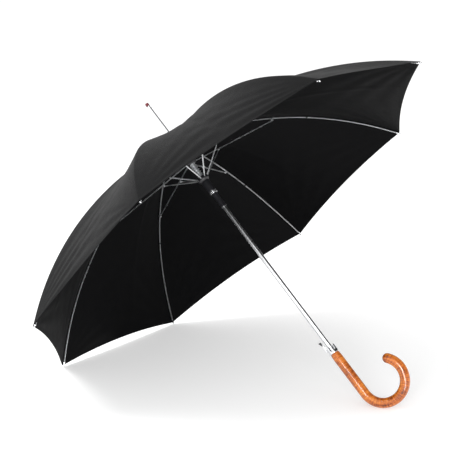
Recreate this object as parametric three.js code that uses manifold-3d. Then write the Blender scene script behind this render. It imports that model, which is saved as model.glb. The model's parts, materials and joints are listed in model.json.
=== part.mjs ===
// A stick umbrella with a crook handle and a sprung runner, standing open on two rib tips
// and its crook.
//
// It is built upright in the umbrella's own frame, in millimetres: Z runs up the shaft from the
// handle to the ferrule, and z = 0 is the plane of the eight rib tips. The whole umbrella is then
// tilted until two rib tips and the crook touch the ground, with +Z up and the origin under the
// middle of its bounding box.

import * as THREE from 'three';
import { mergeVertices } from 'three/addons/utils/BufferGeometryUtils.js';
import Module from 'manifold-3d';

const wasm = await Module();
wasm.setup();

// ---- driving dimensions -------------------------------------------------------------------

const ribCount = 8;
const canopyRadius = 515; // from the shaft's axis to a rib tip, open
const ribArcRadius = 708; // every open rib is one arc, centred on the shaft's axis
const fit = 0.35; // gap between neighbouring pieces

const shaftRadius = 5;
const shaftWall = 0.8;

const ribWidth = 2.6;
const ribDepth = 2.2;
const crownPivotRadius = 9.5;
const crownPivotHeight = 217;
const elbowRadius = 248; // where a stretcher meets its rib
const elbowDrop = 4; // the elbow pin hangs this far under the rib's middle
const crownWidest = 12.6;
const crownTop = 222.8;
const crownBottom = 208;
const crownSlotRadius = 6.6; // how deep a hub's slots are cut, from the shaft's axis

const sliderPivotRadius = 10;
const sliderPivotHeight = 167;
const sliderTop = 170.2;
const sliderBottom = 162;
const sliderWidest = 12.2;
const sliderSlotRadius = 6.9;
const stretcherDepth = 2;
const stretcherWidth = 2.2;
const stretcherSideStep = 2.75; // a stretcher swings beside its rib and its strut
const strutPinReach = 69; // from the slider's pivot to the strut pin, along the stretcher
const strutPinDrop = 3.2;

const runnerPivotRadius = 12;
const runnerPivotHeight = 121.5;
const strutWidth = 2.2;
const strutDepth = 1.9;

// Every arm ends in a flat eye, on a pin or on the wire ring of its hub.
const eyeRadius = 1.95;
const eyeHoleRadius = 1.15;
const pinRadius = 0.75;
const lugDepth = 3; // the tab under an arm that carries a pin
const ribLugWidth = 1.2;
const stretcherLugWidth = 1.6;
const wireRadius = 0.6;
const neckLength = 5.5; // the arm is thinner here, inside its hub's slot
const neckWidth = 1.4;
const slotWidth = 2.3;

const runnerTop = 124.5;
const runnerWidest = 13.6;
const runnerSlotRadius = 8.9;
const runnerWaist = 10.2; // the hub's radius where it meets the barrel
const barrelTopRadius = 9.8;
const barrelBottomRadius = 8.6;
const bandRadius = 9;
const springWire = 0.7;
const springRadius = 6.3;
const springTurns = 8.5;
const springSeat = 116.3; // the floor of the runner's counterbore, where the spring stands
const springSeatRadius = 7.5;
const runnerHubBottom = 113;
const runnerBarrelBottom = 84;
const runnerBandBottom = 78.5;
const runnerTubeBottom = 41.5;
const runnerTubeRadius = 6.4;
const flangeRadius = 7.4;
const flangeHeight = 2.2;

const closedTipRadius = 17.5; // how near the shaft the rib tips come when it is folded

const collarRadius = 11;
const collarLength = 17;
const cupRadius = 9.2;
const cupDepth = 13;
const hingeRise = 7; // the release lever hinges this far above the collar
const hingeRadius = 10.3;
const earGap = 5; // between the two ears that carry the release lever
const earThickness = 1.3;
const earInner = 8.6;
const earOuter = 12.2;
const windowHalfWidth = 6.5;
const leverWidth = 2.6;
const leverTop = 17.6; // above the collar
const leverHoleRadius = 1.05;
const buttonWidth = 6.4;
const buttonFoot = 9.9; // above the collar
const buttonTop = 18.2;
const buttonReach = 14.6; // from the shaft's axis to the fin's tip
const latchDepth = 3; // how far the runner's flange sinks into the collar

const woodRadius = 10.6;
const woodNeckRadius = 8.9;
const woodNeckLength = 18;
const straightLength = 104; // from the wood's top to where the crook starts to bend
const crookRadius = 46.2;
const crookAngle = THREE.MathUtils.degToRad(219);
const woodSocketDepth = 42; // how far the shaft goes into the wood

const shaftTop = 221;
const capBase = 226.3;
const capRadius = 12;
const capBore = 4.5;
const ferruleTop = 330;
const ferruleCapTop = 339;
const ferruleBaseRadius = 3.9;
const ferruleTopRadius = 3.5;
const ferruleCapRadius = 4.2;
const ferruleStubRadius = 2.2; // the stub that the end cap is pressed onto
const ferruleStubHeight = 4;
const ferrulePlugLength = 26; // how far it goes down inside the shaft's tube

const canopyThickness = 0.7;
const canopyGap = 1.7; // from a rib's top to the cloth
const canopyInset = 3; // the cloth ends this far short of the rib tips
const hemBow = 13; // how far a panel's hem curves in between two ribs
const panelSag = 9; // how far the middle of a panel lies inside the straight line across it

// The crook opens towards rib 1, and the release button is opposite it, in line with rib 5.
const ribAzimuth = (rib) => (rib - 0.5) * (2 * Math.PI / ribCount);
const crookAzimuth = ribAzimuth(1);
const buttonAzimuth = ribAzimuth(5);
const windowAzimuth = THREE.MathUtils.degToRad(315);

// ---- materials ----------------------------------------------------------------------------

const finish = (color, roughness, metalness) => () => new THREE.MeshStandardMaterial({
  color, roughness, metalness,
});
const chrome = finish(0xd8dadd, 0.12, 1);
const steel = finish(0xb9bcc0, 0.3, 1);
const blackPlastic = finish(0x15151a, 0.4, 0);
const redPlastic = finish(0x5c0f1c, 0.25, 0);
const wood = finish(0xb8601f, 0.25, 0);
const cloth = finish(0x1c1c1f, 0.8, 0);

// ---- shapes -------------------------------------------------------------------------------

function toSolid(geometry) {
  const bare = geometry.clone();
  bare.deleteAttribute('normal');
  bare.deleteAttribute('uv');
  const merged = mergeVertices(bare, 1e-4);
  const triVerts = new Uint32Array(merged.index.array);
  const vertProperties = new Float32Array(merged.attributes.position.array);
  return new wasm.Manifold(new wasm.Mesh({ numProp: 3, vertProperties, triVerts }));
}

function toGeometry(solid) {
  const mesh = solid.getMesh();
  const geometry = new THREE.BufferGeometry();
  geometry.setAttribute('position', new THREE.BufferAttribute(mesh.vertProperties, 3));
  geometry.setIndex(new THREE.BufferAttribute(mesh.triVerts, 1));
  const faceted = geometry.toNonIndexed();
  faceted.computeVertexNormals();
  return faceted;
}

function join(...geometries) {
  return toGeometry(geometries.map(toSolid).reduce((whole, piece) => whole.add(piece)));
}

function cut(geometry, ...tools) {
  return toGeometry(tools.map(toSolid).reduce((whole, tool) => whole.subtract(tool),
    toSolid(geometry)));
}

// A turned piece about Z, from [radius, height] points listed anticlockwise.
function turned(points, segments = 20) {
  const profile = points.map(([r, z]) => new THREE.Vector2(r, z));
  profile.push(profile[0].clone());
  return new THREE.LatheGeometry(profile, segments).rotateX(Math.PI / 2);
}

function tube(innerRadius, outerRadius, bottom, top, segments = 20) {
  return turned([[innerRadius, bottom], [outerRadius, bottom], [outerRadius, top],
    [innerRadius, top]], segments);
}

// A box given by its lowest and highest corners.
function block(low, high) {
  const size = high.map((value, i) => value - low[i]);
  const middle = high.map((value, i) => (value + low[i]) / 2);
  return new THREE.BoxGeometry(...size).translate(...middle);
}

// A round pin across the XZ plane, centred on it.
function crossPin(radius, length, x, z, segments = 8) {
  return new THREE.CylinderGeometry(radius, radius, length, segments).translate(x, 0, z);
}

// A flat outline in the XZ plane, given width along Y and centred on that plane.
function plate(shape, width, curveSegments = 12) {
  const options = { depth: width, bevelEnabled: false, curveSegments };
  return new THREE.ExtrudeGeometry(shape, options)
    .translate(0, 0, -width / 2).rotateX(Math.PI / 2);
}

// A straight bar between two points of the XZ plane.
function bar(from, to, width, depth) {
  const run = to.clone().sub(from);
  const middle = from.clone().add(to).multiplyScalar(0.5);
  return new THREE.BoxGeometry(run.length(), width, depth)
    .rotateY(-Math.atan2(run.y, run.x)).translate(middle.x, 0, middle.y);
}

// The wire that a hub's arms hinge on, and the groove that it lies in.
const sliderWireRadius = Math.hypot(sliderPivotRadius, stretcherSideStep);
const ring = (radius, height) => new THREE.TorusGeometry(radius, wireRadius, 5, 24)
  .translate(0, 0, height);
const groove = (radius, height) => tube(radius - 1, radius + 1, height - 1, height + 1, 24);

// ---- the linkage ---------------------------------------------------------------------------

const arcCentreHeight = -Math.sqrt(ribArcRadius ** 2 - canopyRadius ** 2);
const arcPoint = (radius, offset = 0) => {
  const angle = Math.asin(radius / ribArcRadius);
  const reach = ribArcRadius + offset;
  return new THREE.Vector2(reach * Math.sin(angle), arcCentreHeight + reach * Math.cos(angle));
};

const crownPivot = new THREE.Vector2(crownPivotRadius, crownPivotHeight);
const elbowPin = arcPoint(elbowRadius, -elbowDrop);
const ribTip = new THREE.Vector2(canopyRadius, 0);
const sliderPivot = new THREE.Vector2(sliderPivotRadius, sliderPivotHeight);
const runnerPivot = new THREE.Vector2(runnerPivotRadius, runnerPivotHeight);

const stretcherLength = elbowPin.distanceTo(sliderPivot);
const alongStretcher = elbowPin.clone().sub(sliderPivot).normalize();
const underStretcher = new THREE.Vector2(alongStretcher.y, -alongStretcher.x);
const strutPin = sliderPivot.clone().addScaledVector(alongStretcher, strutPinReach)
  .addScaledVector(underStretcher, strutPinDrop);
const strutLength = strutPin.distanceTo(runnerPivot);

// Where the pieces come to when the umbrella is folded, in the plane of one rib.
const fromCrown = (point) => point.clone().sub(crownPivot);
const closedTipDrop = Math.sqrt(fromCrown(ribTip).lengthSq()
  - (closedTipRadius - crownPivotRadius) ** 2);
const closedTipAngle = Math.atan2(-closedTipDrop, closedTipRadius - crownPivotRadius);
export const ribFold = fromCrown(ribTip).angle() - 2 * Math.PI - closedTipAngle;
const foldedElbow = fromCrown(elbowPin).rotateAround(new THREE.Vector2(), -ribFold)
  .add(crownPivot);
const elbowSpan = foldedElbow.x - sliderPivotRadius;
const foldedSliderHeight = foldedElbow.y - Math.sqrt(stretcherLength ** 2 - elbowSpan ** 2);
const foldedSlider = new THREE.Vector2(sliderPivotRadius, foldedSliderHeight);
export const stretcherFold = foldedElbow.clone().sub(foldedSlider).angle()
  - alongStretcher.angle();
const foldedStrutPin = strutPin.clone().sub(sliderPivot)
  .rotateAround(new THREE.Vector2(), stretcherFold).add(foldedSlider);
const strutSpan = foldedStrutPin.x - runnerPivotRadius;
const foldedRunnerHeight = foldedStrutPin.y - Math.sqrt(strutLength ** 2 - strutSpan ** 2);
const foldedRunner = new THREE.Vector2(runnerPivotRadius, foldedRunnerHeight);
export const strutFold = foldedStrutPin.clone().sub(foldedRunner).angle()
  - strutPin.clone().sub(runnerPivot).angle();
export const sliderTravel = sliderPivotHeight - foldedSliderHeight;
export const runnerTravel = runnerPivotHeight - foldedRunnerHeight;

// The collar stands where the folded runner's flange sinks into it.
const collarTop = runnerTubeBottom - runnerTravel + latchDepth;
const collarBottom = collarTop - collarLength;
const woodTop = collarBottom - fit;
const shaftBottom = woodTop - woodSocketDepth;

// ---- pieces on the shaft -------------------------------------------------------------------

function makeShaft() {
  return tube(shaftRadius - shaftWall, shaftRadius, shaftBottom, shaftTop);
}

// A hub with a slot for each arm, open at its outside between two heights.
function slottedHub(body, innerRadius, low, high, sideStep = 0) {
  const reach = 30;
  const slots = Array.from({ length: ribCount }, (_, i) => block(
    [innerRadius, sideStep - slotWidth / 2, low], [reach, sideStep + slotWidth / 2, high],
  ).rotateZ(ribAzimuth(i + 1)));
  return cut(body, ...slots);
}

function makeCrown() {
  const inner = shaftRadius + fit;
  const body = turned([[inner, crownBottom], [crownWidest - 1.2, crownBottom],
    [crownWidest, crownPivotHeight - 5], [crownWidest, crownPivotHeight + 2.6],
    [crownWidest - 1.6, crownTop], [inner, crownTop]]);
  const slotted = slottedHub(body, crownSlotRadius, crownBottom - 1, crownPivotHeight + 2.7);
  return cut(slotted, groove(crownPivotRadius, crownPivotHeight));
}

function makeSlider() {
  const inner = shaftRadius + fit;
  const body = turned([[inner, sliderBottom], [sliderWidest - 1.6, sliderBottom],
    [sliderWidest, sliderPivotHeight - 3], [sliderWidest, sliderPivotHeight + 2],
    [sliderWidest - 0.8, sliderTop], [inner, sliderTop]]);
  const slotted = slottedHub(body, sliderSlotRadius, sliderPivotHeight - 2.6, sliderTop + 1,
    stretcherSideStep);
  return cut(slotted, groove(sliderWireRadius, sliderPivotHeight));
}

function makeRunnerHub() {
  const inner = shaftRadius + fit;
  const body = turned([[inner, runnerHubBottom], [runnerWaist, runnerHubBottom],
    [runnerWidest, runnerPivotHeight - 4], [runnerWidest, runnerTop - 0.8],
    [runnerWidest - 0.7, runnerTop], [springSeatRadius, runnerTop],
    [springSeatRadius, springSeat], [inner, springSeat]]);
  const slotted = slottedHub(body, runnerSlotRadius, runnerPivotHeight - 2.4, runnerTop + 1);
  return cut(slotted, groove(runnerPivotRadius, runnerPivotHeight));
}

function makeRunnerBarrel() {
  const top = runnerHubBottom - fit;
  return turned([[shaftRadius + fit, runnerBarrelBottom],
    [barrelBottomRadius, runnerBarrelBottom], [barrelBottomRadius + 0.6, runnerBarrelBottom + 1.5],
    [barrelTopRadius, top - 6], [barrelTopRadius, top], [shaftRadius + fit, top]]);
}

function makeRunnerBand() {
  const top = runnerBarrelBottom - fit;
  return turned([[shaftRadius + fit, runnerBandBottom], [bandRadius - 0.3, runnerBandBottom],
    [bandRadius, runnerBandBottom + 0.6], [bandRadius, top - 0.6], [bandRadius - 0.3, top],
    [shaftRadius + fit, top]]);
}

function makeRunnerTube() {
  const top = runnerBandBottom - fit;
  const flangeTop = runnerTubeBottom + flangeHeight;
  return turned([[shaftRadius + fit, runnerTubeBottom], [flangeRadius - 0.4, runnerTubeBottom],
    [flangeRadius, runnerTubeBottom + 0.5], [flangeRadius, flangeTop],
    [runnerTubeRadius, flangeTop], [runnerTubeRadius, top], [shaftRadius + fit, top]]);
}

class HelixCurve extends THREE.Curve {
  constructor(radius, bottom, top, turns) {
    super();
    Object.assign(this, { radius, bottom, top, turns });
  }

  getPoint(t, target = new THREE.Vector3()) {
    const angle = 2 * Math.PI * this.turns * t;
    const height = this.bottom + (this.top - this.bottom) * t;
    return target.set(this.radius * Math.cos(angle), this.radius * Math.sin(angle), height);
  }
}

function circleShape(radius, sides) {
  const corners = Array.from({ length: sides }, (_, i) => {
    const angle = 2 * Math.PI * i / sides;
    return new THREE.Vector2(radius * Math.cos(angle), radius * Math.sin(angle));
  });
  return new THREE.Shape(corners);
}

// The opening spring sits round the shaft, between the slider and the runner's counterbore.
function makeOpeningSpring() {
  const endGap = springWire + fit;
  const path = new HelixCurve(springRadius, springSeat + endGap, sliderBottom - endGap,
    springTurns);
  return new THREE.ExtrudeGeometry(circleShape(springWire, 4), {
    steps: springTurns * 8, extrudePath: path, bevelEnabled: false,
  });
}

function makeCanopyCap() {
  return turned([[capBore, capBase], [capRadius, capBase], [capRadius, capBase + 0.8],
    [capRadius - 2.5, capBase + 2.6], [capBore + 1.9, capBase + 4.2], [capBore, capBase + 4.6]]);
}

// The ferrule's plug goes down inside the shaft's tube, and its spike stands above the cloth.
function makeFerrule() {
  const plugRadius = shaftRadius - shaftWall - fit;
  const plugBottom = shaftTop - ferrulePlugLength;
  const shoulder = shaftTop + 2;
  const stubTop = ferruleTop + ferruleStubHeight;
  return turned([[0, plugBottom], [plugRadius, plugBottom], [plugRadius, shoulder],
    [ferruleBaseRadius, shoulder], [ferruleTopRadius, ferruleTop], [ferruleStubRadius, ferruleTop],
    [ferruleStubRadius, stubTop], [0, stubTop]]);
}

// The end cap's top is flat, so that the umbrella can stand on it.
function makeFerruleEnd() {
  const seat = ferruleTop + fit;
  const hollow = ferruleTop + ferruleStubHeight + fit;
  const bore = ferruleStubRadius + fit;
  return turned([[bore, seat], [ferruleCapRadius, seat],
    [ferruleCapRadius - 0.1, ferruleCapTop - 2.6], [ferruleCapRadius - 0.8, ferruleCapTop - 0.9],
    [ferruleCapRadius - 1.8, ferruleCapTop], [0, ferruleCapTop], [0, hollow], [bore, hollow]]);
}

// ---- handle, collar and release button -----------------------------------------------------

// The crook lies in the XZ plane here, opening towards +X.
function makeCrook() {
  const bendTop = woodTop - straightLength;
  const sides = 14;
  const neckFoot = bendTop + 20; // a plain cylinder joins the neck to the bend below here
  const neck = turned([[shaftRadius + fit, woodTop], [shaftRadius + fit, shaftBottom - 1],
    [0, shaftBottom - 1], [0, neckFoot], [woodRadius, neckFoot],
    [woodRadius, woodTop - woodNeckLength], [woodRadius - 0.6, woodTop - 0.45 * woodNeckLength],
    [woodNeckRadius, woodTop - 1], [woodNeckRadius - 0.6, woodTop]], sides);
  class CrookArc extends THREE.Curve {
    getPoint(t, target = new THREE.Vector3()) {
      const angle = t * crookAngle;
      return target.set(crookRadius * (1 - Math.cos(angle)), 0,
        bendTop - crookRadius * Math.sin(angle));
    }
  }
  const arc = new THREE.ExtrudeGeometry(circleShape(woodRadius, sides), {
    steps: 18, extrudePath: new CrookArc(), bevelEnabled: false,
  });
  const straight = new THREE.CylinderGeometry(woodRadius, woodRadius, 21, sides)
    .rotateX(Math.PI / 2).translate(0, 0, bendTop + 10.3);
  const end = new CrookArc().getPoint(1);
  const nose = new THREE.SphereGeometry(woodRadius, sides, 8).translate(end.x, end.y, end.z);
  return join(neck, straight, arc, nose).rotateZ(crookAzimuth);
}

const hingeHeight = collarTop + hingeRise;

// The collar's lever side faces +X here.
function makeCollar() {
  const cup = turned([[shaftRadius + fit, collarBottom], [collarRadius - 0.6, collarBottom],
    [collarRadius, collarBottom + 0.6], [collarRadius, collarTop], [cupRadius, collarTop],
    [cupRadius, collarTop - cupDepth], [shaftRadius + fit, collarTop - cupDepth]], 24);
  const earRoot = collarTop - 6;
  const earTop = hingeHeight + 2.2;
  const ear = block([earInner, earGap / 2, earRoot],
    [earOuter, earGap / 2 + earThickness, earTop]);
  const otherEar = block([earInner, -earGap / 2 - earThickness, earRoot],
    [earOuter, -earGap / 2, earTop]);
  const past = 14; // clear of the collar's outside
  const leverSlot = block([8, -earGap / 2, collarTop - 7], [past, earGap / 2, collarTop + 1]);
  const window = block([cupRadius - 2, -windowHalfWidth, collarTop - cupDepth + 1.2],
    [past, windowHalfWidth, collarTop + 1]).rotateZ(windowAzimuth - buttonAzimuth);
  const pinHole = crossPin(leverHoleRadius, 12, hingeRadius, hingeHeight);
  return cut(join(cup, ear, otherEar), leverSlot, window, pinHole).rotateZ(buttonAzimuth);
}

// The lever hooks over the runner's flange below its hinge and carries the button above it.
function makeLever() {
  const toothInner = flangeRadius - 0.45;
  const outline = new THREE.Shape([[toothInner, collarTop + 0.2], [9.6, collarTop - 2.4],
    [11, collarTop - 2.4], [11.2, collarTop + 4.4], [12.1, hingeHeight - 0.6],
    [12.1, hingeHeight + 2], [10.2, collarTop + 12], [10.2, collarTop + leverTop],
    [8.9, collarTop + leverTop], [8.6, collarTop + 3.6], [toothInner, collarTop + 1.4],
  ].map(([x, z]) => new THREE.Vector2(x, z)));
  const hole = crossPin(leverHoleRadius, 12, hingeRadius, hingeHeight);
  return cut(plate(outline, leverWidth), hole).rotateZ(buttonAzimuth);
}

function makeLeverPin() {
  return crossPin(pinRadius, earGap + 3.4, hingeRadius, hingeHeight).rotateZ(buttonAzimuth);
}

// A torsion spring on the hinge pin, beside the lever.
function makeLeverSpring() {
  const coil = tube(leverHoleRadius, 1.75, -0.35, 0.35, 16);
  return coil.rotateX(Math.PI / 2).translate(hingeRadius, 1.9, hingeHeight)
    .rotateZ(buttonAzimuth);
}

// A fin that the thumb presses, on the lever's upper arm.
function makeButton() {
  const foot = collarTop + buttonFoot;
  const top = collarTop + buttonTop;
  const back = 10.5; // just clear of the lever's outside
  const outline = new THREE.Shape();
  outline.moveTo(back, foot + 2.5);
  outline.lineTo(12.4, foot);
  outline.quadraticCurveTo(13.4, foot + 3.4, buttonReach, top);
  outline.quadraticCurveTo(12.4, top + 0.6, back, top);
  return plate(outline, buttonWidth, 5).rotateZ(buttonAzimuth);
}

// ---- ribs, stretchers and struts, each in the XZ plane ---------------------------------------

function makeRib() {
  const bandStart = 15.5;
  const tipSleeve = 9;
  const first = Math.asin(bandStart / ribArcRadius);
  const last = Math.asin(canopyRadius / ribArcRadius) - tipSleeve / ribArcRadius;
  const band = new THREE.Shape();
  const half = ribDepth / 2;
  band.absarc(0, arcCentreHeight, ribArcRadius + half, Math.PI / 2 - first,
    Math.PI / 2 - last, true);
  band.absarc(0, arcCentreHeight, ribArcRadius - half, Math.PI / 2 - last,
    Math.PI / 2 - first, false);
  const neckEnd = arcPoint(bandStart + 4);
  const neck = bar(crownPivot, neckEnd, 1.5, 1.8);
  const eye = crossPin(2.1, 1.5, crownPivot.x, crownPivot.y);
  const lugTop = arcPoint(elbowRadius);
  const lug = bar(lugTop, elbowPin, ribLugWidth, lugDepth);
  const lugEnd = crossPin(1.7, ribLugWidth, elbowPin.x, elbowPin.y);
  const pin = sidePin(elbowPin, 0, stretcherSideStep + stretcherWidth / 2 + fit);
  const whole = join(plate(band, ribWidth, 12), neck, eye, lug, lugEnd, pin);
  return cut(whole, crossPin(1, 4, crownPivot.x, crownPivot.y));
}

// A rounded sleeve on the rib's end, turned about the rib's last tangent.
function makeRibTip() {
  const length = 12;
  const bore = 1.9;
  const depth = 5;
  const sleeveRadius = 2.4;
  const noseRadius = 1.6;
  const sleeve = turned([[bore, 0], [sleeveRadius, 0], [sleeveRadius, 6], [noseRadius - 0.1, 7.4],
    [noseRadius, length - 0.5], [noseRadius - 0.4, length], [0, length], [0, depth],
    [bore, depth]], 8);
  const tangent = Math.asin(canopyRadius / ribArcRadius);
  const start = new THREE.Vector2(canopyRadius - length * Math.cos(tangent),
    length * Math.sin(tangent));
  return sleeve.rotateY(Math.PI / 2 + tangent).translate(start.x, 0, start.y);
}

// A pin from one distance to another beside the XZ plane.
function sidePin(centre, from, to) {
  return crossPin(pinRadius, to - from, centre.x, centre.y).translate(0, (from + to) / 2, 0);
}

// A bar with a thin neck and an eye where it hinges on its hub, and a wide eye at its far end.
function arm(from, to, width, depth) {
  const along = to.clone().sub(from).normalize();
  const bodyStart = from.clone().addScaledVector(along, neckLength);
  const neckEnd = from.clone().addScaledVector(along, neckLength + 2);
  return cut(
    join(bar(bodyStart, to, width, depth), bar(from, neckEnd, neckWidth, 1.7),
      crossPin(eyeRadius, neckWidth, from.x, from.y), crossPin(eyeRadius, width, to.x, to.y)),
    crossPin(eyeHoleRadius, 6, from.x, from.y), crossPin(eyeHoleRadius, 6, to.x, to.y),
  );
}

function makeStretcher() {
  const lugTop = sliderPivot.clone().addScaledVector(alongStretcher, strutPinReach);
  const lug = bar(lugTop, strutPin, stretcherLugWidth, lugDepth);
  const lugEnd = crossPin(1.6, stretcherLugWidth, strutPin.x, strutPin.y);
  const pin = sidePin(strutPin, -stretcherSideStep - strutWidth / 2 - fit, 0);
  const bare = arm(sliderPivot, elbowPin, stretcherWidth, stretcherDepth);
  return join(bare, lug, lugEnd, pin).translate(0, stretcherSideStep, 0);
}

function makeStrut() {
  return arm(runnerPivot, strutPin, strutWidth, strutDepth);
}

// ---- canopy ----------------------------------------------------------------------------------

// The cloth from the middle of one panel, over rib 0, to the middle of the next. Across is from
// -1 to 1, and along is from 0 at the crown to 1 at the hem.
function makeCanopyGore() {
  const alongSteps = 10;
  const acrossSteps = 4;
  const halfPanel = Math.PI / ribCount;
  const innerRadius = 4.6;
  const edgeGap = 0.2;
  const lowest = ribArcRadius + ribDepth / 2 + canopyGap;
  const hemAngle = Math.asin(canopyRadius / ribArcRadius) - canopyInset / ribArcRadius;
  const point = (across, along, thickness) => {
    const side = Math.abs(across);
    const bow = hemBow * along ** 3 * (1 - (1 - side) ** 2);
    const firstAngle = innerRadius / Math.cos(halfPanel) / lowest;
    const angle = firstAngle + (hemAngle - firstAngle) * along - bow / ribArcRadius;
    const reach = lowest + thickness;
    const ribRadius = reach * Math.sin(angle);
    const height = arcCentreHeight + reach * Math.cos(angle);
    const chord = ribRadius * Math.sin(2 * halfPanel) / 2;
    const sag = panelSag * Math.sin(Math.PI * along ** 1.2) * (1 - (1 - side) ** 2);
    const turn = side * halfPanel;
    const radial = ribRadius * (1 - side * (1 - Math.cos(2 * halfPanel)) / 2);
    const lateral = side * chord - (side === 1 ? edgeGap : 0);
    return new THREE.Vector3(radial - sag * Math.cos(turn),
      Math.sign(across) * (lateral - sag * Math.sin(turn)), height - 0.5 * sag);
  };
  const positions = [];
  const index = [];
  const row = acrossSteps + 1;
  const layer = row * (alongSteps + 1);
  for (const thickness of [0, canopyThickness]) {
    for (let j = 0; j <= alongSteps; j += 1) {
      for (let i = 0; i <= acrossSteps; i += 1) {
        positions.push(...point(2 * i / acrossSteps - 1, j / alongSteps, thickness).toArray());
      }
    }
  }
  const quad = (a, b, c, d) => index.push(a, b, c, a, c, d);
  for (let j = 0; j < alongSteps; j += 1) {
    for (let i = 0; i < acrossSteps; i += 1) {
      const a = j * row + i;
      quad(a, a + 1, a + row + 1, a + row);
      quad(layer + a, layer + a + row, layer + a + row + 1, layer + a + 1);
    }
    const left = j * row;
    const right = left + acrossSteps;
    quad(left, left + row, layer + left + row, layer + left);
    quad(right, layer + right, layer + right + row, right + row);
  }
  for (let i = 0; i < acrossSteps; i += 1) {
    const hem = alongSteps * row + i;
    quad(i, layer + i, layer + i + 1, i + 1);
    quad(hem, hem + 1, layer + hem + 1, layer + hem);
  }
  const geometry = new THREE.BufferGeometry();
  geometry.setAttribute('position', new THREE.Float32BufferAttribute(positions, 3));
  geometry.setIndex(index);
  return geometry;
}

// ---- the umbrella ----------------------------------------------------------------------------

const umbrella = new THREE.Group();

function addPiece(name, geometry, material, azimuth = 0) {
  const mesh = new THREE.Mesh(geometry, material());
  mesh.name = name;
  mesh.rotation.z = azimuth;
  umbrella.add(mesh);
}

addPiece('crook_handle', makeCrook(), wood);
addPiece('handle_collar', makeCollar(), chrome);
addPiece('release_lever', makeLever(), chrome);
addPiece('release_button', makeButton(), blackPlastic);
addPiece('lever_pin', makeLeverPin(), steel);
addPiece('lever_spring', makeLeverSpring(), steel);
addPiece('shaft', makeShaft(), chrome);
addPiece('crown', makeCrown(), blackPlastic);
addPiece('crown_wire', ring(crownPivotRadius, crownPivotHeight), steel);
addPiece('canopy_cap', makeCanopyCap(), blackPlastic);
addPiece('ferrule', makeFerrule(), chrome);
addPiece('ferrule_end', makeFerruleEnd(), redPlastic);
addPiece('stretcher_slider', makeSlider(), blackPlastic);
addPiece('slider_wire', ring(sliderWireRadius, sliderPivotHeight), steel);
addPiece('opening_spring', makeOpeningSpring(), steel);
addPiece('runner_hub', makeRunnerHub(), blackPlastic);
addPiece('runner_wire', ring(runnerPivotRadius, runnerPivotHeight), steel);
addPiece('runner_barrel', makeRunnerBarrel(), blackPlastic);
addPiece('runner_band', makeRunnerBand(), steel);
addPiece('runner_tube', makeRunnerTube(), blackPlastic);

for (let rib = 1; rib <= ribCount; rib += 1) {
  const azimuth = ribAzimuth(rib);
  addPiece(`rib_${rib}`, makeRib(), steel, azimuth);
  addPiece(`rib_tip_${rib}`, makeRibTip(), chrome, azimuth);
  addPiece(`stretcher_${rib}`, makeStretcher(), steel, azimuth);
  addPiece(`strut_${rib}`, makeStrut(), steel, azimuth);
  addPiece(`canopy_gore_${rib}`, makeCanopyGore(), cloth, azimuth);
}

// ---- resting place ---------------------------------------------------------------------------

// The shaft's slope is found by halving, until rib tips 4 and 5 and the crook are level.
const tiltFor = (elevation) => new THREE.Matrix4().makeRotationY(elevation - Math.PI / 2);

function lowest(geometry, elevation, azimuth = 0) {
  const matrix = tiltFor(elevation).multiply(new THREE.Matrix4().makeRotationZ(azimuth));
  const placed = geometry.clone().applyMatrix4(matrix);
  placed.computeBoundingBox();
  return placed.boundingBox.min.z;
}

function restingElevation() {
  const crook = makeCrook();
  const tip = makeRibTip();
  let low = 0.3;
  let high = 1.2;
  for (let i = 0; i < 40; i += 1) {
    const middle = (low + high) / 2;
    const crookIsLower = lowest(crook, middle) < lowest(tip, middle, ribAzimuth(4));
    if (crookIsLower) {
      high = middle;
    } else {
      low = middle;
    }
  }
  return (low + high) / 2;
}

umbrella.setRotationFromMatrix(tiltFor(restingElevation()));

const part = new THREE.Group();
part.add(umbrella);
part.updateMatrixWorld(true);
const box = new THREE.Box3().setFromObject(part, true);
const middle = box.getCenter(new THREE.Vector3());
umbrella.position.set(-middle.x, -middle.y, -box.min.z);

export default part;
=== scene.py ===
import json
import math

import bpy
import numpy as np
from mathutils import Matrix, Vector


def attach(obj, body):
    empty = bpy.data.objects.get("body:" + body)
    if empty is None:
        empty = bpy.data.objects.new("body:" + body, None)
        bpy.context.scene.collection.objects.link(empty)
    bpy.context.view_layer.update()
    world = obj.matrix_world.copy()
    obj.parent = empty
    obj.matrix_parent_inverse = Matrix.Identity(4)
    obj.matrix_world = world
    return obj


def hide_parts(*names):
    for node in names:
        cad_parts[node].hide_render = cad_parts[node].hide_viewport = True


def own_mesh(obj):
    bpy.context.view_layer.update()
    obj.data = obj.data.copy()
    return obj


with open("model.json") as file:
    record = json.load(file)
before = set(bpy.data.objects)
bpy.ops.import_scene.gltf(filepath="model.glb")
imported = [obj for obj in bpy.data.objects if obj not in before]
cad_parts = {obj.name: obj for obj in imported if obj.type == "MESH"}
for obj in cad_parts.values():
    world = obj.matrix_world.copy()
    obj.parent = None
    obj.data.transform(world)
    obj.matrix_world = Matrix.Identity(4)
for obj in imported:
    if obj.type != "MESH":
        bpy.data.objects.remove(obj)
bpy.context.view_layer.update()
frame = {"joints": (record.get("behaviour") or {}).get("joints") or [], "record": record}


# ---- the umbrella's own frame ----
# Millimetres, with Z up the shaft and z = 0 in the plane of the rib tips. The CAD part uses the
# same frame, and its record says where the shaft and the ferrule's tip are in the row frame.

MM = 0.001
joints = {joint["name"]: joint for joint in frame["joints"]}
tip_mount = next(mount for mount in frame["record"]["mounts"] if mount["name"] == "ferrule_tip")
UP = -np.array(joints["runner_slide"]["axis"], float)
SIDE = np.array([0.0, 1.0, 0.0])
ACROSS = np.array([UP[2], 0.0, -UP[0]])
FERRULE_TOP = 339.0
ORIGIN = np.array(tip_mount["pos_m"], float) - UP * FERRULE_TOP * MM
AXES = np.stack([ACROSS, SIDE, UP])

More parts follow.
